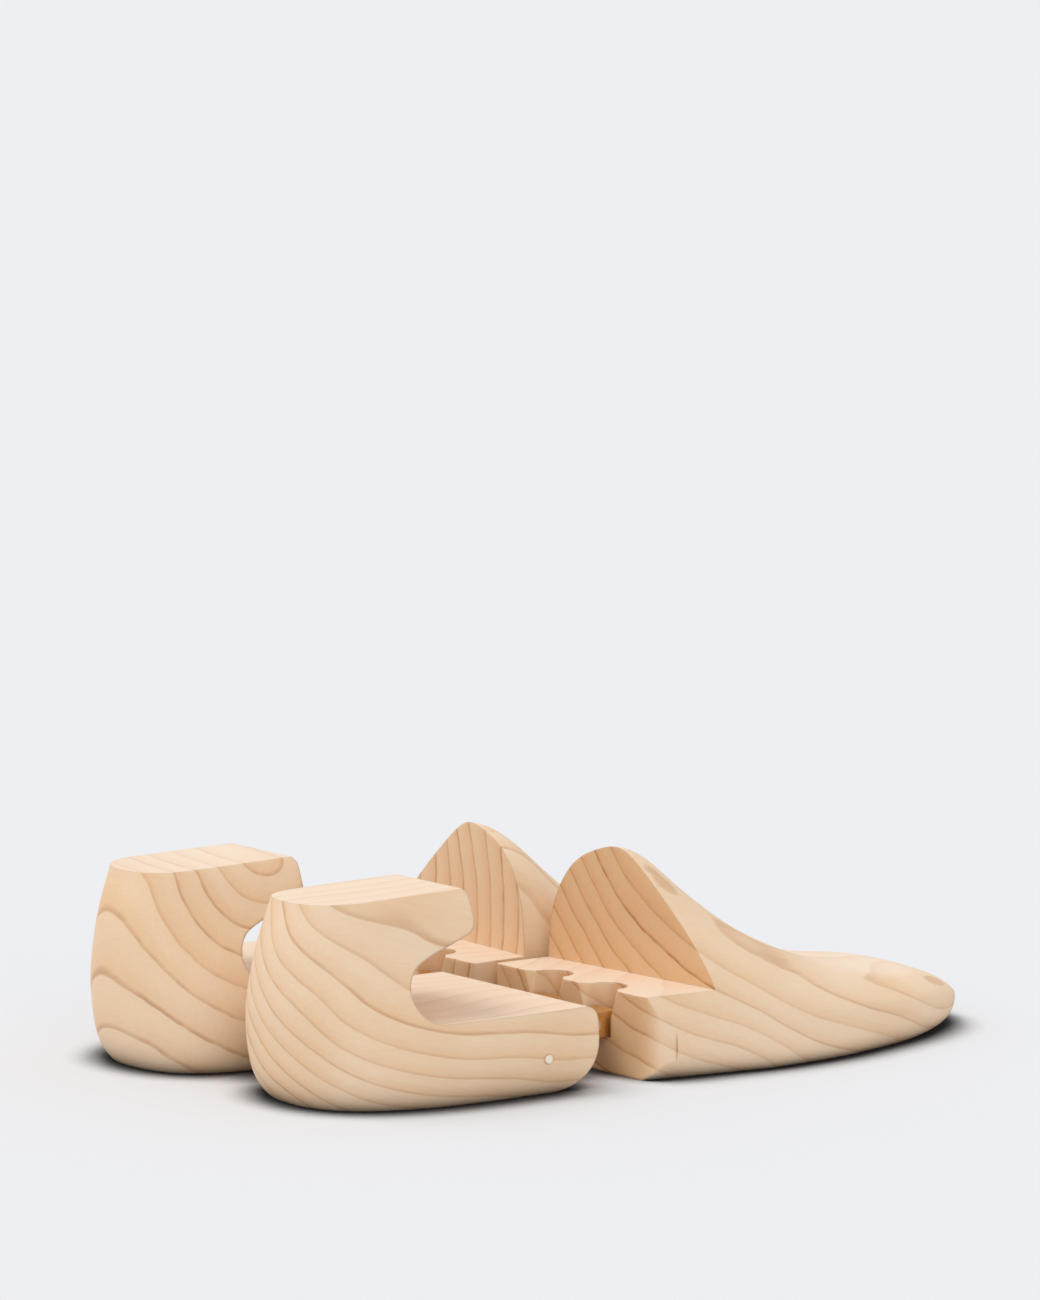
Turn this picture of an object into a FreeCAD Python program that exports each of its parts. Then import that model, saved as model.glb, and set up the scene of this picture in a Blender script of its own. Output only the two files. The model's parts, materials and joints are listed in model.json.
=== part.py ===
import FreeCAD, Part
import math
import os
import Sketcher

# A pair of two-part wooden shoe trees. Each tree has a forepart with an instep fin, a heel block with a
# finger cut, and two brass hinge bars that fold about one pin in the forepart. A steel rod is fixed in each
# bar and slides in the heel block, where a spring pushes the block back from the forepart.
# Frame: millimetres, +X from heel to toe, +Y from the right tree to the left tree, +Z up.
# The origin is on the floor, straight below the middle of the right tree's hinge pin.

Vector = FreeCAD.Vector
doc = FreeCAD.newDocument("ShoeTrees")
sheet = doc.addObject("Spreadsheet::Sheet", "Sizes")

sizes = [
    ("hingeInset", 3.0),
    ("hingeHeight", 14.0),
    ("platformHeight", 24.0),
    ("finDistance", 21.6),
    ("finSlant", 4.0),
    ("forepartLength", 139.0),
    ("finHeight", 60.0),
    ("toeThickness", 20.0),
    ("toeLift", 4.5),
    ("ballOuter", 43.5),
    ("ballInner", 35.5),
    ("widestHeight", 9.0),
    ("cornerRadius", 8.0),
    ("innerCornerRadius", 2.0),
    ("jointGap", 18.0),
    ("heelLength", 88.8),
    ("heelHalfWidth", 35.0),
    ("heelHeight", 58.0),
    ("heelTopHalfWidth", 14.5),
    ("heelTopFall", 1.2),
    ("heelBackDepth", 62.0),
    ("ledgeLength", 57.0),
    ("hookReach", 33.0),
    ("gripHeight", 19.5),
    ("linkSpacing", 24.6),
    ("barWidth", 9.2),
    ("barHeight", 7.4),
    ("barTail", 9.0),
    ("slotRadius", 5.8),
    ("slotDepth", 9.3),
    ("barRest", 0.3),
    ("slotBevel", 3.0),
    ("slotBevelHeight", 9.5),
    ("rodDiameter", 6.0),
    ("rodSocket", 7.4),
    ("rodEnd", 7.0),
    ("rollPinSetback", 4.75),
    ("rollPinDiameter", 4.4),
    ("rollPinBore", 3.3),
    ("hingePinDiameter", 3.2),
    ("hingePinReach", 27.0),
    ("plugDiameter", 5.0),
    ("pressFit", 0.015),
    ("runningFit", 0.05),
    ("springTravel", 8.0),
    ("crossPinDiameter", 2.6),
    ("crossPinSetback", 18.0),
    ("crossPinDrop", 3.1),
    ("crossPinProud", 0.3),
    ("endPlay", 0.3),
    ("boreDiameter", 8.0),
    ("bushLength", 11.5),
    ("bushRecess", 0.4),
    ("springWire", 1.0),
    ("springDiameter", 7.0),
    ("springLength", 22.0),
    ("treeSpacing", 73.0),
    ("treeStagger", 5.5),
]
for row, (alias, value) in enumerate(sizes, start=1):
    sheet.set("A%d" % row, alias)
    sheet.set("B%d" % row, str(value))
    sheet.setAlias("B%d" % row, alias)
doc.recompute()


def size(alias):
    return float(sheet.get(alias))


# Places along the tree that several pieces share, as formulas of the sheet.
rear = "(-Sizes.hingeInset)"
heelFront = "(-Sizes.hingeInset - Sizes.jointGap)"
pinPlace = "(%s - Sizes.crossPinSetback)" % heelFront
rodTip = "(%s - Sizes.rodEnd)" % pinPlace
boreDepth = "(Sizes.crossPinSetback + Sizes.rodEnd + Sizes.springLength)"
sides = (("inner", "", 1), ("outer", "-", -1))


def bind(feature, **formulas):
    for name, formula in formulas.items():
        feature.setExpression(name.replace("__", "."), formula)
    return feature


def held(name, shape):
    feature = doc.addObject("Part::Feature", name)
    feature.Shape = shape
    return feature


def box_tool(name, length, width, height, x, y, z):
    box = doc.addObject("Part::Box", name)
    bind(box, Length=length, Width=width, Height=height)
    return bind(box, Placement__Base__x=x, Placement__Base__y=y, Placement__Base__z=z)


def rod_tool(name, radius, height, x, y, z, along):
    # A cylinder from its start point towards plus X, Y or Z.
    rod = doc.addObject("Part::Cylinder", name)
    turns = {"X": (Vector(0, 1, 0), 90), "Y": (Vector(1, 0, 0), -90), "Z": (Vector(0, 0, 1), 0)}
    turn_axis, degrees = turns[along]
    rod.Placement = FreeCAD.Placement(Vector(), FreeCAD.Rotation(turn_axis, degrees))
    bind(rod, Radius=radius, Height=height)
    return bind(rod, Placement__Base__x=x, Placement__Base__y=y, Placement__Base__z=z)


def joined(name, tools):
    fuse = doc.addObject("Part::MultiFuse", name)
    fuse.Shapes = tools
    fuse.Refine = False
    return fuse


def cut(name, base, tool):
    feature = doc.addObject("Part::Cut", name)
    feature.Base = base
    feature.Tool = tool
    feature.Refine = False
    return feature


def common(name, base, tool):
    feature = doc.addObject("Part::Common", name)
    feature.Base = base
    feature.Tool = tool
    feature.Refine = False
    return feature


def flowing(knots, at):
    # A smooth line through a few guide points that never swings past them.
    spans = [(b[0] - a[0], (b[1] - a[1]) / (b[0] - a[0])) for a, b in zip(knots, knots[1:])]
    slopes = [spans[0][1]]
    for (before, rise), (after, climb) in zip(spans, spans[1:]):
        if rise * climb <= 0:
            slopes.append(0.0)
        else:
            heavy = 2 * after + before
            light = after + 2 * before
            slopes.append((heavy + light) / (heavy / rise + light / climb))
    slopes.append(spans[-1][1])
    at = min(max(at, knots[0][0]), knots[-1][0])
    index = max(i for i in range(len(spans)) if knots[i][0] <= at or i == 0)
    width = spans[index][0]
    t = (at - knots[index][0]) / width
    start = knots[index][1] * (1 + 2 * t) * (1 - t) ** 2 + slopes[index] * width * t * (1 - t) ** 2
    return start + knots[index + 1][1] * t * t * (3 - 2 * t) + slopes[index + 1] * width * t * t * (t - 1)


def closed_curve(points):
    # A closed curve close to its points, whose poles are pushed out a little so that it stays full.
    count = len(points)
    poles = []
    for i, point in enumerate(points):
        push = point * 2 - points[i - 1] - points[(i + 1) % count]
        poles.append(point + push * (1 / 6))
    curve = Part.BSplineCurve()
    curve.buildFromPoles(poles, True, 3)
    return Part.Wire([curve.toShape()])


# Guide lines of the last against the share of its length, from the rear face to the toe tip.
# Ridge: share of the rise from the toe's thickness to the fin's top. Outer, inner: share of the ball's
# half width. Sole: share of the width that stands on the floor. Side shifts are in millimetres.
ridgeLine = [(0.0, 1.0), (0.15, 1.0), (0.204, 0.94), (0.271, 0.735), (0.396, 0.405), (0.564, 0.127),
             (0.70, 0.03), (0.80, -0.01), (0.88, -0.08), (0.94, -0.17), (0.975, -0.245), (1.0, -0.33)]
outerLine = [(0.0, 0.865), (0.172, 0.93), (0.345, 1.0), (0.476, 0.995), (0.655, 0.885), (0.80, 0.73),
             (0.87, 0.61), (0.92, 0.49), (0.96, 0.35), (0.985, 0.21), (1.0, 0.02)]
innerLine = [(0.0, 1.0), (0.20, 0.98), (0.40, 0.975), (0.55, 0.99), (0.68, 0.93), (0.79, 0.81),
             (0.87, 0.66), (0.92, 0.53), (0.96, 0.38), (0.985, 0.23), (1.0, 0.02)]
soleLine = [(0.0, 0.84), (0.17, 0.92), (0.35, 0.95), (0.7, 0.93), (1.0, 0.9)]
middleLine = [(0.0, 0.0), (0.55, 0.0), (0.80, -1.5), (1.0, -3.0)]
ridgeSideLine = [(0.0, 6.0), (0.14, 6.0), (0.40, 5.5), (0.60, 3.0), (0.80, 0.0), (1.0, -3.0)]
liftLine = [(0.0, 0.0), (0.66, 0.0), (0.80, 0.2), (0.93, 0.6), (1.0, 1.0)]
fadeLine = [(0.0, 0.0), (0.14, 0.0), (0.35, 0.45), (0.60, 1.0), (1.0, 1.0)]
# A section's upper outline beside its ridge, at the fin and at the toe: share out, share up.
finOuter = [(0.905, 0.29), (0.66, 0.565), (0.38, 0.795), (0.14, 0.965)]
toeOuter = [(0.95, 0.385), (0.76, 0.74), (0.50, 0.91), (0.24, 0.98)]
finInner = [(0.97, 0.36), (0.90, 0.62), (0.625, 0.87), (0.22, 0.975)]
toeInner = [(0.95, 0.385), (0.76, 0.74), (0.50, 0.91), (0.24, 0.98)]
soleHollow = 3.0
stations = (0.0, 0.06, 0.12, 0.16, 0.20, 0.25, 0.31, 0.38, 0.46, 0.55, 0.64, 0.72, 0.79, 0.85, 0.90,
            0.94, 0.97, 0.99, 0.999)


def last_section(share):
    # One closed outline across the last, from below the floor line up over the ridge.
    top = size("toeThickness") + (size("finHeight") - size("toeThickness")) * flowing(ridgeLine, share)
    middle = flowing(middleLine, share)
    ridge = flowing(ridgeSideLine, share)
    lift = size("toeLift") * flowing(liftLine, share)
    waist = min(size("widestHeight") + 0.4 * lift, 0.55 * top + 0.45 * lift)
    fade = flowing(fadeLine, share)
    sole = flowing(soleLine, share)
    hollow = soleHollow * (1 - 0.85 * share ** 6)
    x = share * size("forepartLength") - size("hingeInset")
    upper = []
    for out_most, fin, toe in ((middle - size("ballOuter") * flowing(outerLine, share), finOuter, toeOuter),
                               (middle + size("ballInner") * flowing(innerLine, share), finInner, toeInner)):
        side = [Vector(x, middle + 0.5 * (out_most - middle), lift - hollow),
                Vector(x, middle + sole * (out_most - middle), lift), Vector(x, out_most, waist)]
        for (out, up), (toe_out, toe_up) in zip(fin, toe):
            out += fade * (toe_out - out)
            up += fade * (toe_up - up)
            side.append(Vector(x, ridge + out * (out_most - ridge), waist + up * (top - waist)))
        upper.append(side)
    bottom = Vector(x, middle, lift - hollow)
    return closed_curve([bottom] + upper[0] + [Vector(x, ridge, top)] + upper[1][::-1])


def last_form():
    # The stations crowd at the fin and towards the toe, so that both keep their roundness.
    sections = [last_section(share) for share in stations]
    return held("forepart_form", Part.makeLoft(sections, True, False, False, 5))


def slot_bevels(side, sign):
    # The slot's two upright edges are cut away on the slant towards the platform's top.
    back = -size("hingeInset")
    top = size("platformHeight")
    bevels = []
    for edge in (-1, 1):
        y = sign * size("linkSpacing") / 2 + edge * (size("slotRadius") - 0.5)
        outlines = []
        for z, spread in ((top + 0.5, 1.0), (top - size("slotBevelHeight"), 0.12)):
            inward = spread * size("slotBevel")
            across = edge * spread * (size("slotBevel") + 1.5)
            corner = [Vector(back - 0.5, y, z), Vector(back + inward, y, z), Vector(back - 0.5, y + across, z)]
            outlines.append(Part.makePolygon(corner + corner[:1]))
        bevels.append(held("%s_slot_bevel_%d" % (side, edge + 1), Part.makeLoft(outlines, True, True)))
    return bevels


def slot_tools(side, sign):
    # A round-ended slot for one bar, open to the rear and to the top.
    middle = sign * size("linkSpacing") / 2
    radius = size("slotRadius")
    bottom = size("hingeHeight") - size("barHeight") / 2 - size("barRest")
    start = -size("hingeInset") - radius
    centre = size("slotDepth") - radius - size("hingeInset")
    low = Vector(start, middle - radius, bottom)
    low_end = Vector(centre, middle - radius, bottom)
    high_end = Vector(centre, middle + radius, bottom)
    high = Vector(start, middle + radius, bottom)
    round_end = Part.Arc(low_end, Vector(centre + radius, middle, bottom), high_end)
    outline = Part.Wire([Part.makeLine(high, low), Part.makeLine(low, low_end), round_end.toShape(),
                         Part.makeLine(high_end, high)])
    slot = Part.Face(outline).extrude(Vector(0, 0, size("finHeight")))
    return [held(side + "_slot", slot)] + slot_bevels(side, sign)


def corner_tool(name, sign, half_width, radius):
    # What the platform's rounded rear corner leaves over, seen from above.
    back = -size("hingeInset")
    block = Part.makeBox(radius + 1, radius + 6, 90)
    block.translate(Vector(back - 1, half_width - radius if sign > 0 else -half_width - 6, -10))
    post = Part.makeCylinder(radius, 90, Vector(back + radius, sign * (half_width - radius), -10))
    return held(name, block.cut(post))


def platform_space():
    # The room above the platform, up to the slanted rear face of the fin.
    reach = size("finHeight")
    space = box_tool("platform_space", "Sizes.finHeight", "4 * Sizes.finHeight", "Sizes.finHeight",
                     "Sizes.finDistance - Sizes.hingeInset - Sizes.finHeight * cos(Sizes.finSlant)"
                     " + 2 * Sizes.finHeight * sin(Sizes.finSlant)",
                     "-Sizes.finHeight * sin(Sizes.finSlant) - 2 * Sizes.finHeight * cos(Sizes.finSlant)",
                     "Sizes.platformHeight")
    space.Placement = FreeCAD.Placement(space.Placement.Base,
                                        FreeCAD.Rotation(Vector(0, 0, 1), size("finSlant")))
    return space


def forepart():
    form = last_form()
    floor = box_tool("under_floor", "2 * Sizes.forepartLength", "4 * Sizes.ballOuter", "20",
                     "-Sizes.forepartLength / 2", "-2 * Sizes.ballOuter", "-20")
    flat = cut("forepart_on_floor", form, floor)
    stepped = cut("forepart_stepped", flat, platform_space())
    tools = []
    for side, mark, sign in sides:
        tools += slot_tools(side, sign)
    tools.append(corner_tool("outer_corner", -1, size("ballOuter") * flowing(outerLine, 0.02),
                             size("cornerRadius")))
    tools.append(corner_tool("inner_corner", 1, size("ballInner") * flowing(innerLine, 0.02),
                             size("innerCornerRadius")))
    tools.append(rod_tool("hinge_pin_bore", "Sizes.hingePinDiameter / 2 + Sizes.pressFit",
                          "2 * Sizes.hingePinReach", "0", "-Sizes.hingePinReach", "Sizes.hingeHeight", "Y"))
    tools.append(rod_tool("plug_bore", "Sizes.plugDiameter / 2", "Sizes.hingePinReach", "0",
                          "Sizes.hingePinReach", "Sizes.hingeHeight", "Y"))
    shaped = stepped
    for tool in tools:
        shaped = cut("forepart_less_" + tool.Name, shaped, tool)
    return form, shaped


def hinge_pin():
    return rod_tool("hinge_pin", "Sizes.hingePinDiameter / 2", "2 * Sizes.hingePinReach - 2 * Sizes.endPlay",
                    "0", "Sizes.endPlay - Sizes.hingePinReach", "Sizes.hingeHeight", "Y")


def hinge_pin_plug(form):
    # The wooden plug ends flush with the side of the forepart.
    rod = rod_tool("plug_rod", "Sizes.plugDiameter / 2 - Sizes.pressFit", "Sizes.hingePinReach", "0",
                   "Sizes.hingePinReach + Sizes.endPlay", "Sizes.hingeHeight", "Y")
    return common("hinge_pin_plug", rod, form)


def sketch_on(body, name, role):
    sketch = body.newObject("Sketcher::SketchObject", name)
    plane = [item for item in body.Origin.OriginFeatures if item.Role == role][0]
    sketch.AttachmentSupport = (plane, [""])
    sketch.MapMode = "FlatFace"
    return sketch


def circle_sketch(body, name, role, across, radius):
    sketch = sketch_on(body, name, role)
    sketch.addGeometry(Part.Circle(Vector(-5, 0, 0), Vector(0, 0, 1), 2), False)
    sketch.addConstraint(Sketcher.Constraint("Radius", 0, 2))
    sketch.setExpression("Constraints[0]", radius)
    if across:
        sketch.addConstraint(Sketcher.Constraint("PointOnObject", 0, 3, -1))
        sketch.addConstraint(Sketcher.Constraint("DistanceX", 0, 3, -1, 1, 5))
        sketch.setExpression("Constraints[2]", across)
    else:
        sketch.addConstraint(Sketcher.Constraint("Coincident", 0, 3, -1, 1))
    return sketch


def bore(body, name, role, across, radius):
    # A hole through the bar, on both sides of the sketch.
    pocket = body.newObject("PartDesign::Pocket", name)
    pocket.Profile = circle_sketch(body, name + "_round", role, across, radius)
    pocket.Type = 1
    pocket.Midplane = True
    return pocket


def hinge_bar(side, mark):
    # A flat brass bar with a round eye, drawn about the hinge axis and set at its slot.
    body = doc.addObject("PartDesign::Body", side + "_hinge_bar")
    half = size("barHeight") / 2
    tail = -size("hingeInset") - size("barTail")
    outline = sketch_on(body, side + "_bar_outline", "XZ_Plane")
    outline.addGeometry(Part.LineSegment(Vector(0, half, 0), Vector(tail, half, 0)), False)
    outline.addGeometry(Part.LineSegment(Vector(tail, half, 0), Vector(tail, -half, 0)), False)
    outline.addGeometry(Part.LineSegment(Vector(tail, -half, 0), Vector(0, -half, 0)), False)
    eye = Part.Circle(Vector(0, 0, 0), Vector(0, 0, 1), half)
    outline.addGeometry(Part.ArcOfCircle(eye, -math.pi / 2, math.pi / 2), False)
    for first, second in ((0, 1), (1, 2)):
        outline.addConstraint(Sketcher.Constraint("Coincident", first, 2, second, 1))
    outline.addConstraint(Sketcher.Constraint("Tangent", 2, 2, 3, 1))
    outline.addConstraint(Sketcher.Constraint("Tangent", 3, 2, 0, 1))
    outline.addConstraint(Sketcher.Constraint("Horizontal", 0))
    outline.addConstraint(Sketcher.Constraint("Vertical", 1))
    outline.addConstraint(Sketcher.Constraint("Coincident", 3, 3, -1, 1))
    outline.addConstraint(Sketcher.Constraint("Radius", 3, half))
    outline.setExpression("Constraints[7]", "Sizes.barHeight / 2")
    outline.addConstraint(Sketcher.Constraint("DistanceX", 0, 2, -1, 1, -tail))
    outline.setExpression("Constraints[8]", "Sizes.hingeInset + Sizes.barTail")
    pad = body.newObject("PartDesign::Pad", side + "_bar_pad")
    pad.Profile = outline
    pad.Midplane = True
    pad.setExpression("Length", "Sizes.barWidth")
    bore(body, side + "_bar_eye", "XZ_Plane", None, "Sizes.hingePinDiameter / 2 + Sizes.runningFit")
    bore(body, side + "_roll_pin_hole", "XZ_Plane", "Sizes.hingeInset + Sizes.rollPinSetback",
         "Sizes.rollPinDiameter / 2 + Sizes.pressFit")
    socket = circle_sketch(body, side + "_rod_socket_round", "YZ_Plane", None,
                           "Sizes.rodDiameter / 2 + Sizes.pressFit")
    socket.AttachmentOffset = FreeCAD.Placement(Vector(0, 0, tail), FreeCAD.Rotation())
    socket.setExpression("AttachmentOffset.Base.z", "-Sizes.hingeInset - Sizes.barTail")
    pocket = body.newObject("PartDesign::Pocket", side + "_rod_socket")
    pocket.Profile = socket
    pocket.Reversed = True
    pocket.setExpression("Length", "Sizes.rodSocket")
    bind(body, Placement__Base__y="%sSizes.linkSpacing / 2" % mark, Placement__Base__z="Sizes.hingeHeight")
    return body


def roll_pins():
    pins = []
    for side, mark, sign in sides:
        start = "%sSizes.linkSpacing / 2 - Sizes.barWidth / 2" % mark
        place = "%s - Sizes.rollPinSetback" % rear
        outside = rod_tool(side + "_roll_pin_outside", "Sizes.rollPinDiameter / 2", "Sizes.barWidth", place,
                           start, "Sizes.hingeHeight", "Y")
        inside = rod_tool(side + "_roll_pin_inside", "Sizes.rollPinBore / 2", "2 * Sizes.barWidth", place,
                          start + " - Sizes.barWidth / 2", "Sizes.hingeHeight", "Y")
        pins.append(cut(side + "_roll_pin", outside, inside))
    return joined("roll_pins", pins)


def rod(side, mark):
    # A steel rod, drilled for its roll pin, with a flat below that the heel's cross pin runs along.
    middle = "%sSizes.linkSpacing / 2" % mark
    start = "(%s - Sizes.barTail + Sizes.rodSocket - Sizes.endPlay)" % rear
    flat_low = "(%s - Sizes.crossPinDiameter / 2 - Sizes.pressFit)" % pinPlace
    round_rod = rod_tool(side + "_rod_round", "Sizes.rodDiameter / 2", "%s - %s" % (start, rodTip), rodTip,
                         middle, "Sizes.hingeHeight", "X")
    flat = box_tool(side + "_rod_flat", "Sizes.crossPinDiameter + Sizes.springTravel + 2 * Sizes.endPlay",
                    "2 * Sizes.rodDiameter", "Sizes.rodDiameter", flat_low, middle + " - Sizes.rodDiameter",
                    "Sizes.hingeHeight - Sizes.crossPinDrop + Sizes.crossPinDiameter / 2 + Sizes.runningFit"
                    " - Sizes.rodDiameter")
    hole = rod_tool(side + "_rod_cross_hole", "Sizes.rollPinDiameter / 2 + Sizes.pressFit",
                    "2 * Sizes.rodDiameter", "%s - Sizes.rollPinSetback" % rear,
                    middle + " - Sizes.rodDiameter", "Sizes.hingeHeight", "Y")
    return cut(side + "_rod", round_rod, joined(side + "_rod_tools", [flat, hole]))


# Heel block levels: share of its height, share of the widest half width, set-in of its back in
# millimetres, and share of the depth over which its back rounds off.
heelLevels = [
    (0.0, 0.85, 8.0, 0.92), (0.067, 0.945, 5.0, 0.97), (0.167, 0.99, 3.0, 1.0), (0.29, 1.0, 2.0, 1.0),
    (0.41, 0.957, 1.3, 0.97), (0.525, 0.872, 1.2, 0.90), (0.64, 0.765, 1.5, 0.80), (0.77, 0.643, 2.6, 0.64),
    (1.0, 0.405, 6.2, 0.27),
]
innerSquareness = 2.9
outerSquareness = 2.3
backSteps = 4


def heel_section(share, width_share, set_in, depth_share):
    # A closed outline with a rounded back and straight sides that run on past the block's front.
    front = size("jointGap") - size("hingeInset")
    back = -size("hingeInset") - size("jointGap") - size("heelLength") + set_in
    depth = size("heelBackDepth") * depth_share
    half = size("heelHalfWidth") * width_share
    z = share * (size("heelHeight") + 1.0)
    sides_drawn = []
    for sign, squareness in ((1, innerSquareness), (-1, outerSquareness)):
        side = []
        for step in range(1, backSteps):
            angle = 0.5 * math.pi * step / backSteps
            x = back + depth * (1 - math.cos(angle) ** (2 / squareness))
            side.append(Vector(x, sign * half * math.sin(angle) ** (2 / squareness), z))
        for along in (0, 0.35, 0.7, 1):
            side.append(Vector(back + depth + along * (front - back - depth), sign * half, z))
        side.append(Vector(front + 10, sign * half * 0.8, z))
        sides_drawn.append(side)
    return closed_curve([Vector(back, 0, z)] + sides_drawn[0] + [Vector(front + 18, 0, z)]
                        + sides_drawn[1][::-1])


def heel_outline():
    # The block's side view: sole, round front, ledge, finger cut, hook and top.
    front = -size("hingeInset") - size("jointGap")
    back = front - size("heelLength") - 5
    ledge = size("platformHeight")
    top = size("heelHeight")
    inmost = front - size("ledgeLength") - 3.0
    grip = ledge + size("gripHeight")
    nose = front - size("hookReach")

    def at(x, z):
        return Vector(x, -60, z)

    edges = [
        Part.LineSegment(at(back, 0), at(front - 15, 0)),
        Part.Arc(at(front - 15, 0), at(front - 3.6, 4.2), at(front, 13)),
        Part.LineSegment(at(front, 13), at(front, ledge - 3.5)),
        Part.Arc(at(front, ledge - 3.5), at(front - 1.03, ledge - 1.03), at(front - 3.5, ledge)),
        Part.LineSegment(at(front - 3.5, ledge), at(inmost + 8.5, ledge)),
        Part.Arc(at(inmost + 8.5, ledge), at(inmost + 2.49, ledge + 2.49), at(inmost, ledge + 8.5)),
        Part.Arc(at(inmost, ledge + 8.5), at(inmost + 1.25, ledge + 12.75), at(inmost + 4.9, ledge + 16.2)),
        Part.Arc(at(inmost + 4.9, ledge + 16.2), at(inmost + 9.5, grip - 1.3), at(nose - 12, grip + 0.3)),
        Part.LineSegment(at(nose - 12, grip + 0.3), at(nose - 4.5, grip + 2.5)),
        Part.Arc(at(nose - 4.5, grip + 2.5), at(nose - 1.2, grip + 4.4), at(nose, grip + 7.5)),
        Part.LineSegment(at(nose, grip + 7.5), at(nose + 0.6, top - 1.6)),
        Part.LineSegment(at(nose + 0.6, top - 1.6), at(nose - 0.6, top)),
        Part.LineSegment(at(nose - 0.6, top), at(back, top - size("heelTopFall"))),
        Part.LineSegment(at(back, top - size("heelTopFall")), at(back, 0)),
    ]
    face = Part.Face(Part.Wire([edge.toShape() for edge in edges]))
    return held("heel_outline", face.extrude(Vector(0, 120, 0)))


def heel_block():
    sections = [heel_section(*level) for level in heelLevels]
    form = held("heel_form", Part.makeLoft(sections, True, False, False, 5))
    trimmed = common("heel_trimmed", form, heel_outline())
    tools = []
    for side, mark, sign in sides:
        tools.append(rod_tool(side + "_heel_bore", "Sizes.boreDiameter / 2", boreDepth,
                              "%s - %s" % (heelFront, boreDepth), "%sSizes.linkSpacing / 2" % mark,
                              "Sizes.hingeHeight", "X"))
    tools.append(rod_tool("cross_pin_bore", "Sizes.crossPinDiameter / 2 + Sizes.pressFit",
                          "4 * Sizes.heelHalfWidth", pinPlace, "-2 * Sizes.heelHalfWidth",
                          "Sizes.hingeHeight - Sizes.crossPinDrop", "Y"))
    return trimmed, cut("heel_block", trimmed, joined("heel_tools", tools))


def heel_cross_pin(trimmed):
    # The pin runs right across the block and stands a little proud of each side.
    doc.recompute()
    place = size("hingeInset") + size("jointGap") + size("crossPinSetback")
    height = size("hingeHeight") - size("crossPinDrop")
    line = Part.makeLine(Vector(-place, -60, height), Vector(-place, 60, height))
    half = line.common(trimmed.Shape).BoundBox.YMax + size("crossPinProud")
    radius = size("crossPinDiameter") / 2
    feature = held("heel_cross_pin", Part.makeCylinder(radius, 2 * half, Vector(), Vector(0, 1, 0)))
    feature.Placement = FreeCAD.Placement(Vector(-place, -half, height), FreeCAD.Rotation())
    return feature


def rod_bushes():
    bushes = []
    for side, mark, sign in sides:
        middle = "%sSizes.linkSpacing / 2" % mark
        start = "%s - Sizes.bushRecess - Sizes.bushLength" % heelFront
        outside = rod_tool(side + "_bush_outside", "Sizes.boreDiameter / 2 - Sizes.pressFit",
                           "Sizes.bushLength", start, middle, "Sizes.hingeHeight", "X")
        inside = rod_tool(side + "_bush_inside", "Sizes.rodDiameter / 2 + Sizes.runningFit",
                          "2 * Sizes.bushLength", start + " - Sizes.bushLength / 2", middle,
                          "Sizes.hingeHeight", "X")
        bushes.append(cut(side + "_bush", outside, inside))
    return joined("rod_bushes", bushes)


def spring(side, mark):
    # The space that the coils take between the rod's end and the bottom of its bore.
    middle = "%sSizes.linkSpacing / 2" % mark
    start = "%s - Sizes.springLength + Sizes.endPlay" % rodTip
    outside = rod_tool(side + "_spring_outside", "Sizes.springDiameter / 2",
                       "Sizes.springLength - 2 * Sizes.endPlay", start, middle, "Sizes.hingeHeight", "X")
    inside = rod_tool(side + "_spring_inside", "Sizes.springDiameter / 2 - Sizes.springWire",
                      "2 * Sizes.springLength", start + " - Sizes.springLength / 2", middle,
                      "Sizes.hingeHeight", "X")
    return cut(side + "_spring", outside, inside)


def right_tree():
    form, fore = forepart()
    trimmed, heel = heel_block()
    pieces = {"forepart": fore, "heel_block": heel, "hinge_pin": hinge_pin()}
    pieces["hinge_pin_plug"] = hinge_pin_plug(form)
    pieces["roll_pins"] = roll_pins()
    pieces["rod_bushes"] = rod_bushes()
    pieces["heel_cross_pin"] = heel_cross_pin(trimmed)
    for side, mark, sign in sides:
        pieces[side + "_hinge_bar"] = hinge_bar(side, mark)
        pieces[side + "_rod"] = rod(side, mark)
        pieces[side + "_spring"] = spring(side, mark)
    for name, piece in pieces.items():
        piece.Label = "right_" + name
    return pieces


def left_tree(pieces):
    # The left tree mirrors the right one and stands beside it.
    shift = FreeCAD.Placement(Vector(-size("treeStagger"), size("treeSpacing"), 0), FreeCAD.Rotation())
    copies = {}
    for name, piece in pieces.items():
        mirrored = piece.Shape.mirror(Vector(), Vector(0, 1, 0))
        copy = held("left_" + name, mirrored)
        copy.Placement = shift.multiply(mirrored.Placement)
        copy.Label = "left_" + name
        copies[name] = copy
    return copies


right = right_tree()
doc.recompute()
left = left_tree(right)
doc.recompute()
for feature in doc.Objects:
    if "Invalid" in feature.State or "Error" in feature.State:
        raise RuntimeError("%s is %s" % (feature.Name, feature.State))
os.makedirs("parts", exist_ok=True)
for tree in (right, left):
    for piece in tree.values():
        shape = piece.Shape
        if shape.isNull() or not shape.isValid():
            raise RuntimeError("%s has no valid shape" % piece.Label)
        shape.exportStep("parts/%s.step" % piece.Label)
        print(piece.Label, len(shape.Solids), round(shape.Volume), shape.BoundBox)
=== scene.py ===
import json
import math

import bmesh
import bpy
from mathutils import Matrix, Vector


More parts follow.
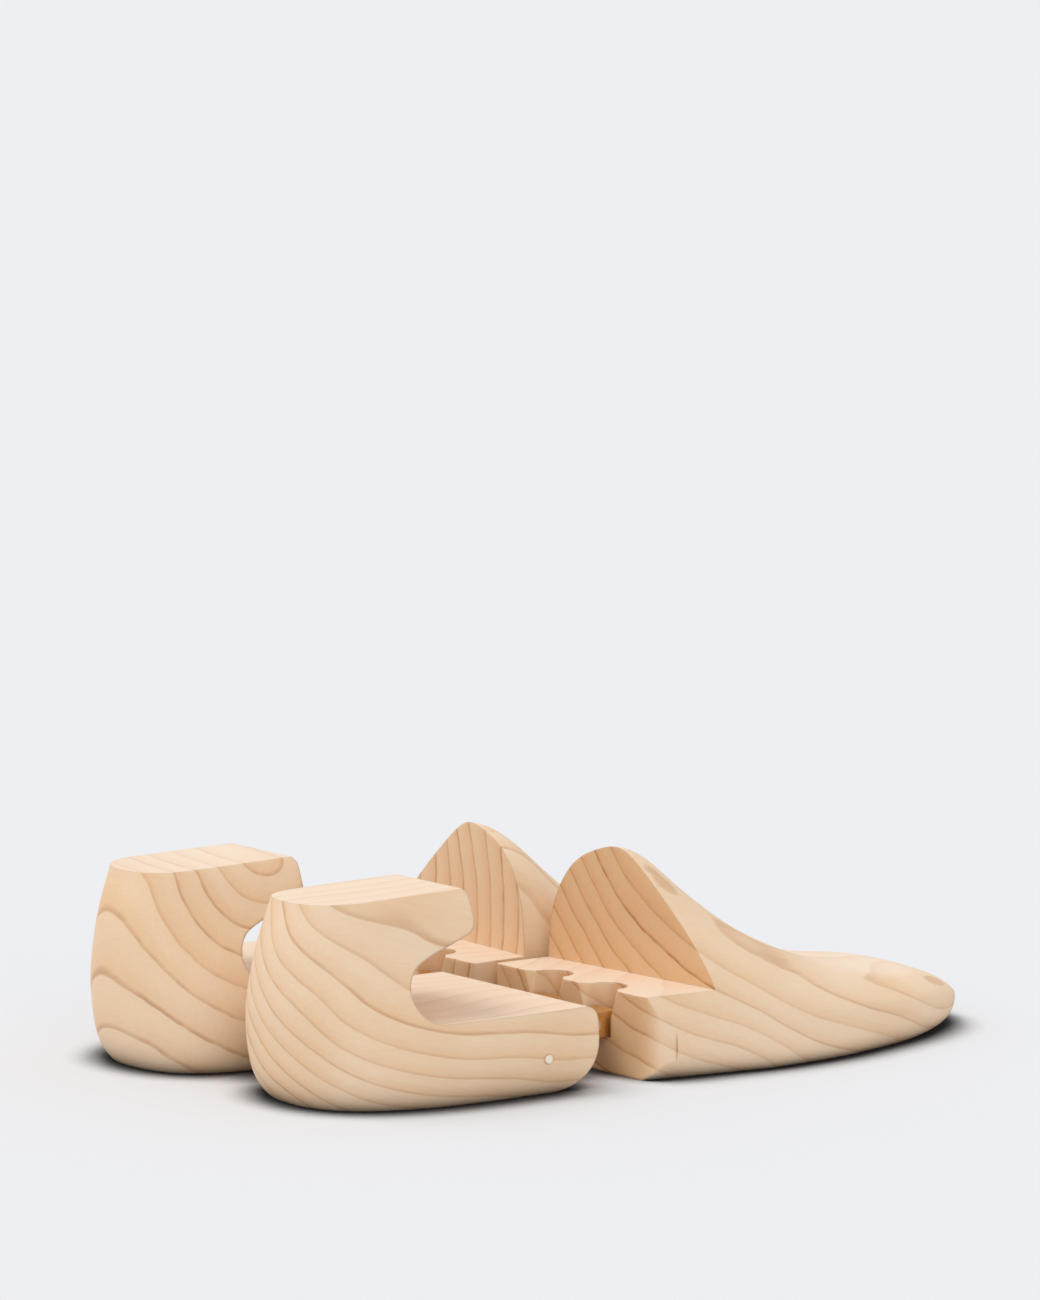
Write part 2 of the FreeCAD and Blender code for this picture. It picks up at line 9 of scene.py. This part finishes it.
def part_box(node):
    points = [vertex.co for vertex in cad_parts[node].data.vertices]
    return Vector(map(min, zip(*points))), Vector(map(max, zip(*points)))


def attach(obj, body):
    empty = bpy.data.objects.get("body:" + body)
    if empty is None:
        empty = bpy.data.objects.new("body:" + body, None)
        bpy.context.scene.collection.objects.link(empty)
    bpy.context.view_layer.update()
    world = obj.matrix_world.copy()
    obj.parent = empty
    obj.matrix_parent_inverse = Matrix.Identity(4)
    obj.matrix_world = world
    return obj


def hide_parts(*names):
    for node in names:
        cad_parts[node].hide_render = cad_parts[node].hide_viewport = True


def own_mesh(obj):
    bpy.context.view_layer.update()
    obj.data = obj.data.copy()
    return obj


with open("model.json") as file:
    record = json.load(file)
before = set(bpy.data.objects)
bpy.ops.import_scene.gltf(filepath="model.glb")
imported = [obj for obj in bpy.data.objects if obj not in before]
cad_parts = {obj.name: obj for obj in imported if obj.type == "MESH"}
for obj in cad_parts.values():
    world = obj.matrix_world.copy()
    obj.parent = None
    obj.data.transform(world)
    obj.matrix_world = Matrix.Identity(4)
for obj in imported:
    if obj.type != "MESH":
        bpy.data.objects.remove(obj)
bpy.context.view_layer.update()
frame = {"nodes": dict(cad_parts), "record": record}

nodes = frame["nodes"]
print("frame loaded")

mm = 0.001
# Place in millimetres, roll in degrees, lens and sensor in millimetres of film, near and far in metres.
cameraSpot = {"place": (-1000.0, -1231.0, 316.0), "way": (0.617, 0.777, -0.123), "roll": 0.4,
              "lens": 155.0, "sensor": 36, "near": 0.05, "far": 200}
# The reach is in metres and the painted contact shadow's reach in millimetres; the dark tint is painted
# shadow where the soles meet the floor.
floorPlan = {"reach": 60.0, "tint": (0.80, 0.812, 0.842), "contactShadowTint": (0.03, 0.032, 0.036),
             "contactShadowReach": 15.0}
floorFinish = {"roughness": 0.9, "specular": 0.1}
# How open the floor is where its painted contact shadow is darkest and where it is full, and how that
# painted shade runs between.
cornerShade = {"dark": 0.42, "full": 0.86, "power": 0.8, "samples": 8}
studioWorld = {"light": (1.0, 0.995, 0.985), "strength": 0.74, "backdrop": (0.855, 0.863, 0.896)}
softLights = {
    "topLight": {"way": (0.35, -0.45, -1.0), "spread": 34.0, "power": 1.02},
    "sideFill": {"way": (0.55, 0.75, -0.35), "spread": 60.0, "power": 0.42},
}
edgeSoftness = {"wood": 1.1, "samples": 8}

# Wood of one block: where its pith runs and how that is turned, how wide and how strong its rings are,
# the share of that strength on its long faces, and how much its end-grain faces are browned, partly for
# the end grain's real tone and partly as painted shade.
# Places and spacings are in millimetres on the part, turns in degrees.
blocks = {
    "right_forepart": {"pith": (0, -86, 150), "turn": (0, 17, 11), "spacing": 6.2, "strength": 1.0,
                       "faces": 0.42, "endBrownAndShade": 1.0, "seed": 1.0},
    "right_heel_block": {"pith": (-60, -98, 122), "turn": (0, 14, -13), "spacing": 6.0, "strength": 0.72,
                         "faces": 0.8, "endBrownAndShade": 0.2, "seed": 4.0},
    "left_forepart": {"pith": (0, 155, 40), "turn": (0, 8, -8), "spacing": 7.5, "strength": 0.9,
                      "faces": 0.45, "endBrownAndShade": 0.55, "seed": 7.0},
    "left_heel_block": {"pith": (-68, 55, 60), "turn": (0, 6, 84), "spacing": 8.4, "strength": 0.75,
                        "faces": 0.85, "endBrownAndShade": 0.15, "seed": 9.0},
    "plug": {"pith": (0, 20, 40), "turn": (0, 0, 90), "spacing": 3.0, "strength": 0.5, "faces": 1.0,
             "endBrownAndShade": 0.3, "seed": 2.0},
}
woodTints = {
    "early": (0.88, 0.675, 0.480),
    "warm": (0.80, 0.505, 0.280),
    "late": (0.43, 0.190, 0.070),
    # The next tint darkens end grain: partly its real browner tone, partly painted shade on faces turned
    # along the part.
    "endGrainAndShade": (0.88, 0.76, 0.62),
    # The next tint is painted light, a paler colour for faces that look up.
    "paintedTopLight": (0.97, 0.82, 0.69),
}

# Scales are per millimetre, along and across the fibres where there are three.
# A mask or a fall has two numbers, where it starts and where it ends.
noiseMiddle = 0.5
grain = {
    "seedShift": (37.0, 11.0, 23.0),
    "swing": {"scale": 0.016, "reach": 16.0},
    "ripple": {"scale": (0.02, 0.10, 0.10), "share": 0.25},
    "fibres": {"scale": (0.035, 1.1, 1.1), "detail": 3.0, "rough": 0.6, "share": 0.55},
    "pores": {"scale": (0.5, 5.0, 5.0), "rough": 0.6, "mask": (0.58, 0.8), "share": 0.10},
    "patches": {"scale": 0.025, "mask": (0.3, 0.75), "share": 0.35},
    "flecks": {"scale": (0.03, 0.2, 0.2), "mask": (0.35, 0.65), "least": 0.55},
    "band": {"mask": (0.25, 0.95), "share": 0.42},
    "line": {"mask": (0.80, 0.95), "share": 0.8, "leastRing": 0.45},
    "fall": (0.955, 1.0),
    "roughness": {"least": 0.48, "share": 0.16},
    "height": {"fibres": 0.6, "band": 0.4},
}
skinFinish = {"specular": 0.35, "bump": 0.12, "bumpDepth": 0.3}
# Masks on how squarely a face looks along the part, or up; along the part they lay painted shade over the
# end grain's tone, and up they lay painted light on tops.
faceMasks = {"strength": (0.6, 0.95), "endGrainAndShade": (0.55, 1.0), "upward": (0.93, 0.99), "paintedTopLight": 0.45}


class Nodes:
    # A short way to add nodes and join them in one tree.
    def __init__(self, tree):
        self.tree = tree

    def add(self, kind, **settings):
        node = self.tree.nodes.new(kind)
        for name, value in settings.items():
            setattr(node, name, value)
        return node

    def feed(self, target, value):
        if isinstance(value, bpy.types.NodeSocket):
            self.tree.links.new(value, target)
        elif value is not None:
            target.default_value = value

    def math(self, operation, a, b=None, clamp=False):
        node = self.add("ShaderNodeMath", operation=operation, use_clamp=clamp)
        self.feed(node.inputs[0], a)
        self.feed(node.inputs[1], b)
        return node.outputs[0]

    def vector(self, operation, a, b=None, scale=None):
        node = self.add("ShaderNodeVectorMath", operation=operation)
        self.feed(node.inputs[0], a)
        self.feed(node.inputs[1], b)
        if scale is not None:
            self.feed(node.inputs["Scale"], scale)
        return node.outputs["Value"] if operation in ("LENGTH", "DOT_PRODUCT") else node.outputs["Vector"]

    def noise(self, vector, scale=1.0, detail=2.0, roughness=0.5):
        node = self.add("ShaderNodeTexNoise")
        self.feed(node.inputs["Vector"], vector)
        self.feed(node.inputs["Scale"], scale)
        self.feed(node.inputs["Detail"], detail)
        self.feed(node.inputs["Roughness"], roughness)
        return node.outputs

    def step(self, value, start, end, low=0.0, high=1.0):
        node = self.add("ShaderNodeMapRange", interpolation_type="SMOOTHSTEP")
        for name, number in (("Value", value), ("From Min", start), ("From Max", end), ("To Min", low),
                             ("To Max", high)):
            self.feed(node.inputs[name], number)
        return node.outputs["Result"]

    def streaks(self, vector, stretch, detail=2.0, roughness=0.5):
        # Noise that is drawn out along one axis.
        drawn = self.vector("MULTIPLY", vector, stretch)
        return self.noise(drawn, detail=detail, roughness=roughness)["Fac"]

    def mix(self, factor, a, b, blend="MIX"):
        # Of a Mix node's sockets, inputs 6 and 7 and output 2 are the colour ones.
        node = self.add("ShaderNodeMix", data_type="RGBA", blend_type=blend)
        self.feed(node.inputs[0], factor)
        self.feed(node.inputs[6], a)
        self.feed(node.inputs[7], b)
        return node.outputs[2]


def rgba(tint):
    return (tint[0], tint[1], tint[2], 1.0)


def growthRings():
    # Growth rings about a pith along X, with pale early wood that ends in a thin dark line.
    group = bpy.data.node_groups.new("growthRings", "ShaderNodeTree")
    group.interface.new_socket(name="Vector", in_out="INPUT", socket_type="NodeSocketVector")
    for name in ("Spacing", "Strength", "Seed"):
        group.interface.new_socket(name=name, in_out="INPUT", socket_type="NodeSocketFloat")
    group.interface.new_socket(name="Color", in_out="OUTPUT", socket_type="NodeSocketColor")
    for name in ("Roughness", "Height"):
        group.interface.new_socket(name=name, in_out="OUTPUT", socket_type="NodeSocketFloat")
    n = Nodes(group)
    given = n.add("NodeGroupInput").outputs
    place = n.vector("SCALE", given["Vector"], scale=1 / mm)
    shifted = n.vector("ADD", place, n.vector("SCALE", grain["seedShift"], scale=given["Seed"]))

    # The distance from the pith, a little bent, counted in rings.
    swing = n.noise(shifted, grain["swing"]["scale"], detail=1.0)["Color"]
    swing = n.vector("SUBTRACT", swing, (noiseMiddle, noiseMiddle, noiseMiddle))
    bent = n.vector("ADD", place, n.vector("SCALE", swing, scale=grain["swing"]["reach"]))
    distance = n.vector("LENGTH", n.vector("MULTIPLY", bent, (0.0, 1.0, 1.0)))
    ripple = n.math("MULTIPLY", n.streaks(shifted, grain["ripple"]["scale"]), grain["ripple"]["share"])
    count = n.math("ADD", n.math("DIVIDE", distance, given["Spacing"]), ripple)
    within = n.math("FRACT", count)
    ring = n.add("ShaderNodeTexWhiteNoise", noise_dimensions="1D")
    n.feed(ring.inputs["W"], n.math("FLOOR", count))
    ringPower = n.step(ring.outputs["Value"], 0.0, 1.0, grain["line"]["leastRing"], 1.0)
    fall = n.step(within, *grain["fall"], 1.0, 0.0)
    band = n.math("MULTIPLY", n.step(within, *grain["band"]["mask"]), fall)
    line = n.math("MULTIPLY", n.step(within, *grain["line"]["mask"]), fall)

    # The warm ground of the wood.
    fibres = n.streaks(shifted, grain["fibres"]["scale"], grain["fibres"]["detail"],
                       grain["fibres"]["rough"])
    patches = n.noise(shifted, grain["patches"]["scale"])["Fac"]
    patches = n.step(patches, *grain["patches"]["mask"], 0.0, grain["patches"]["share"])
    warmth = n.math("ADD", n.math("MULTIPLY", band, grain["band"]["share"]), patches)
    streak = n.math("SUBTRACT", fibres, noiseMiddle)
    warmth = n.math("ADD", warmth, n.math("MULTIPLY", streak, grain["fibres"]["share"]), clamp=True)
    tint = n.mix(warmth, rgba(woodTints["early"]), rgba(woodTints["warm"]))

    # Dark lines, broken up a little, and fine pores.
    flecks = n.streaks(shifted, grain["flecks"]["scale"])
    flecks = n.step(flecks, *grain["flecks"]["mask"], grain["flecks"]["least"], 1.0)
    power = n.math("MULTIPLY", n.math("MULTIPLY", line, ringPower), given["Strength"])
    power = n.math("MULTIPLY", n.math("MULTIPLY", power, flecks), grain["line"]["share"])
    tint = n.mix(power, tint, rgba(woodTints["late"]))
    pores = n.streaks(shifted, grain["pores"]["scale"], roughness=grain["pores"]["rough"])
    pores = n.step(pores, *grain["pores"]["mask"], 0.0, grain["pores"]["share"])
    tint = n.mix(pores, tint, rgba(woodTints["late"]))

    out = n.add("NodeGroupOutput").inputs
    n.feed(out["Color"], tint)
    roughness = n.math("MULTIPLY", fibres, grain["roughness"]["share"])
    n.feed(out["Roughness"], n.math("ADD", roughness, grain["roughness"]["least"]))
    n.feed(out["Height"], n.math("ADD", n.math("MULTIPLY", fibres, grain["height"]["fibres"]),
                                 n.math("MULTIPLY", band, grain["height"]["band"])))
    return group


def softNormal(n, radius):
    # Edges look rounded over by this many millimetres.
    edge = n.add("ShaderNodeBevel", samples=edgeSoftness["samples"])
    n.feed(edge.inputs["Radius"], radius * mm)
    return edge.outputs["Normal"]


def newMaterial(name):
    material = bpy.data.materials.new(name)
    material.use_nodes = True
    n = Nodes(material.node_tree)
    return material, n, material.node_tree.nodes["Principled BSDF"].inputs


def woodMaterial(name, rings, block):
    material, n, skin = newMaterial(name)
    places = n.add("ShaderNodeTexCoord").outputs
    turned = n.add("ShaderNodeMapping", vector_type="TEXTURE")
    n.feed(turned.inputs["Vector"], places["Object"])
    turned.inputs["Location"].default_value = [number * mm for number in block["pith"]]
    turned.inputs["Rotation"].default_value = [math.radians(number) for number in block["turn"]]
    wood = n.add("ShaderNodeGroup", node_tree=rings)
    n.feed(wood.inputs["Vector"], turned.outputs["Vector"])
    n.feed(wood.inputs["Spacing"], block["spacing"])
    n.feed(wood.inputs["Seed"], block["seed"])
    # Lines show most on end grain, which takes more light in and looks browner than the long faces.
    # That browning is also painted shade, darkening faces turned along the part as if out of the light.
    along = n.math("ABSOLUTE", n.vector("DOT_PRODUCT", places["Normal"], (1.0, 0.0, 0.0)))
    strength = n.step(along, *faceMasks["strength"], block["faces"], 1.0)
    n.feed(wood.inputs["Strength"], n.math("MULTIPLY", strength, block["strength"]))
    endGrainAndShade = n.step(along, *faceMasks["endGrainAndShade"], 0.0, block["endBrownAndShade"])
    brownerAndShaded = n.mix(1.0, wood.outputs["Color"], rgba(woodTints["endGrainAndShade"]), "MULTIPLY")
    tint = n.mix(endGrainAndShade, wood.outputs["Color"], brownerAndShaded)
    # Painted light: flat tops are made paler, as if lit from above.
    upward = n.vector("DOT_PRODUCT", places["Normal"], (0.0, 0.0, 1.0))
    paintedTopLight = n.step(upward, *faceMasks["upward"], 0.0, faceMasks["paintedTopLight"])
    tint = n.mix(paintedTopLight, tint, rgba(woodTints["paintedTopLight"]))
    n.feed(skin["Base Color"], tint)
    n.feed(skin["Roughness"], wood.outputs["Roughness"])
    n.feed(skin["Specular IOR Level"], skinFinish["specular"])
    bump = n.add("ShaderNodeBump")
    n.feed(bump.inputs["Strength"], skinFinish["bump"])
    n.feed(bump.inputs["Distance"], skinFinish["bumpDepth"] * mm)
    n.feed(bump.inputs["Height"], wood.outputs["Height"])
    n.feed(bump.inputs["Normal"], softNormal(n, edgeSoftness["wood"]))
    n.feed(skin["Normal"], bump.outputs["Normal"])
    return material


# Each metal's material: name, colour, roughness, scales of its brushing, and the softness of its edges
# in millimetres.
metalRows = {
    "brass": ("brass", (0.80, 0.52, 0.22), 0.34, (300.0, 40.0, 900.0), 0.35),
    "pin_steel": ("pinSteel", (0.86, 0.80, 0.72), 0.30, (200.0, 60.0, 200.0), 0.2),
    "pinEnd": ("pinEnd", (0.97, 0.86, 0.70), 0.42, (200.0, 200.0, 200.0), 0.3),
    "steel": ("steel", (0.66, 0.65, 0.63), 0.32, (60.0, 700.0, 700.0), 0.2),
    "spring_steel": ("springSteel", (0.45, 0.46, 0.48), 0.4, (200.0, 200.0, 200.0), 0.1),
}
# Brushing turns a share of the colour to a shade of it, and spreads the roughness about its middle.
brushing = {"detail": 3.0, "tint": (0.3, 0.7), "share": 0.25, "shade": 0.72,
            "rough": (0.2, 0.8), "less": 0.06, "more": 0.08}


def metalMaterial(name, tint, roughness, stretch, edge):
    material, n, skin = newMaterial(name)
    places = n.add("ShaderNodeTexCoord").outputs["Object"]
    brushed = n.streaks(places, stretch, brushing["detail"])
    darker = rgba([brushing["shade"] * number for number in tint])
    share = n.step(brushed, *brushing["tint"], 0.0, brushing["share"])
    n.feed(skin["Base Color"], n.mix(share, rgba(tint), darker))
    n.feed(skin["Metallic"], 1.0)
    n.feed(skin["Roughness"], n.step(brushed, *brushing["rough"], roughness - brushing["less"],
                                     roughness + brushing["more"]))
    n.feed(skin["Normal"], softNormal(n, edge))
    return material


# Lengths in millimetres. The closed pitch is in wire radii, a little more than one wire's thickness.
# The wire is given by its radius, and the closed turns are those at each end.
coils = {"wire": 0.5, "turns": 6, "closed": 1.2, "closedPitch": 2.1, "steps": 20, "around": 8,
         "travel": 8.0, "margin": 0.05}


def coilRows(low, high):
    # Rings of points along the wire, from the bottom of the bore to the rod's end.
    wire = coils["wire"] * mm
    margin = coils["margin"] * mm
    middle = Vector((0, (low[1] + high[1]) / 2, (low[2] + high[2]) / 2))
    radius = (high[1] - low[1]) / 2 - wire - margin
    closedPitch = coils["closedPitch"] * wire
    total = coils["turns"] + 2 * coils["closed"]
    steps = round(total * coils["steps"])
    openLength = (high[0] - margin) - (low[0] + margin) - 2 * wire - 2 * coils["closed"] * closedPitch
    rows = []
    for step in range(steps + 1):
        turned = total * step / steps
        share = min(max((turned - coils["closed"]) / coils["turns"], 0.0), 1.0)
        ends = min(turned, coils["closed"]) + max(turned - coils["closed"] - coils["turns"], 0.0)
        x = low[0] + margin + wire + ends * closedPitch + share * openLength
        angle = 2 * math.pi * turned
        out = Vector((0, math.cos(angle), math.sin(angle)))
        centre = middle + out * radius + Vector((x, 0, 0))
        row = []
        for corner in range(coils["around"]):
            turn = 2 * math.pi * corner / coils["around"]
            row.append(centre + (out * math.cos(turn) + Vector((1, 0, 0)) * math.sin(turn)) * wire)
        rows.append(row)
    return rows


def windSpring(name, material):
    # A compression spring with closed ends, in the room of the solid spring that it replaces.
    low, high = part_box(name)
    form = bmesh.new()
    rings = [[form.verts.new(point) for point in row] for row in coilRows(low, high)]
    for before, after in zip(rings, rings[1:]):
        for i in range(coils["around"]):
            j = (i + 1) % coils["around"]
            form.faces.new((before[i], after[i], after[j], before[j]))
    form.faces.new(rings[0])
    form.faces.new(rings[-1][::-1])
    bmesh.ops.recalc_face_normals(form, faces=form.faces)
    for face in form.faces:
        face.smooth = True
    mesh = bpy.data.meshes.new(name + "_wound")
    form.to_mesh(mesh)
    form.free()
    mesh.materials.append(material)
    wound = bpy.data.objects.new(name + "_wound", mesh)
    bpy.context.scene.collection.objects.link(wound)
    side = name.split("_")[0]
    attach(wound, side + "_heel_body")
    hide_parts(name)
    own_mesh(wound)


def addCamera():
    data = bpy.data.cameras.new("camera")
    data.sensor_fit = "VERTICAL"
    data.sensor_height = cameraSpot["sensor"]
    data.lens = cameraSpot["lens"]
    data.clip_start = cameraSpot["near"]
    data.clip_end = cameraSpot["far"]
    camera = bpy.data.objects.new("camera", data)
    bpy.context.scene.collection.objects.link(camera)
    turn = Vector(cameraSpot["way"]).to_track_quat("-Z", "Y").to_matrix().to_4x4()
    camera.matrix_world = (Matrix.Translation(Vector(cameraSpot["place"]) * mm) @ turn
                           @ Matrix.Rotation(math.radians(cameraSpot["roll"]), 4, "Z"))
    bpy.context.scene.camera = camera


def addFloor():
    reach = floorPlan["reach"]
    mesh = bpy.data.meshes.new("floor")
    # The middle of the floor lies behind the part, which keeps the floor's own diagonal out of sight.
    near, far = -reach / 3, 5 * reach / 3
    mesh.from_pydata([(-reach, near, 0), (reach, near, 0), (reach, far, 0), (-reach, far, 0)], [],
                     [(0, 1, 2, 3)])
    floor = bpy.data.objects.new("floor", mesh)
    bpy.context.scene.collection.objects.link(floor)
    material, n, skin = newMaterial("floorWhite")
    # Painted contact shadow: the floor is darkened where a sole comes down to it, by how closed in each
    # spot is.
    corner = n.add("ShaderNodeAmbientOcclusion", samples=cornerShade["samples"])
    corner.inputs["Distance"].default_value = floorPlan["contactShadowReach"] * mm
    shade = n.step(corner.outputs["AO"], cornerShade["dark"], cornerShade["full"])
    shade = n.math("POWER", shade, cornerShade["power"])
    n.feed(skin["Base Color"], n.mix(shade, rgba(floorPlan["contactShadowTint"]), rgba(floorPlan["tint"])))
    n.feed(skin["Roughness"], floorFinish["roughness"])
    n.feed(skin["Specular IOR Level"], floorFinish["specular"])
    mesh.materials.append(material)


def addSoftLight(name, way, spread, power):
    data = bpy.data.lights.new(name, "SUN")
    data.angle = math.radians(spread)
    data.energy = power
    light = bpy.data.objects.new(name, data)
    bpy.context.scene.collection.objects.link(light)
    light.matrix_world = Vector(way).to_track_quat("-Z", "Y").to_matrix().to_4x4()


def addWorld():
    # White light from all round, and a plain pale backdrop where the camera looks past the floor.
    world = bpy.data.worlds.new("studio")
    world.use_nodes = True
    bpy.context.scene.world = world
    n = Nodes(world.node_tree)
    light = world.node_tree.nodes["Background"]
    light.inputs["Color"].default_value = rgba(studioWorld["light"])
    light.inputs["Strength"].default_value = studioWorld["strength"]
    backdrop = n.add("ShaderNodeBackground")
    backdrop.inputs["Color"].default_value = rgba(studioWorld["backdrop"])
    choice = n.add("ShaderNodeMixShader")
    n.feed(choice.inputs[0], n.add("ShaderNodeLightPath").outputs["Is Camera Ray"])
    n.feed(choice.inputs[1], light.outputs[0])
    n.feed(choice.inputs[2], backdrop.outputs[0])
    n.feed(world.node_tree.nodes["World Output"].inputs["Surface"], choice.outputs[0])


def dressNodes():
    rings = growthRings()
    metals = {kind: metalMaterial(*row) for kind, row in metalRows.items()}
    plug = woodMaterial("plugPine", rings, blocks["plug"])
    slots = {row["node"]: row["material_slot"] for row in frame["record"]["subparts"]}
    for name, node in nodes.items():
        kind = slots[name]
        if kind == "spring_steel":
            windSpring(name, metals[kind])
            continue
        if kind == "pine":
            material = woodMaterial(name + "_pine", rings, blocks[name])
        elif kind == "plug_pine":
            material = plug
        else:
            material = metals["pinEnd" if name.endswith("cross_pin") else kind]
        node.data.materials.clear()
        node.data.materials.append(material)


bpy.context.scene.view_settings.view_transform = "Standard"
addCamera()
addFloor()
for name, light in softLights.items():
    addSoftLight(name, **light)
addWorld()
print("studio set")
dressNodes()
print("pieces dressed")
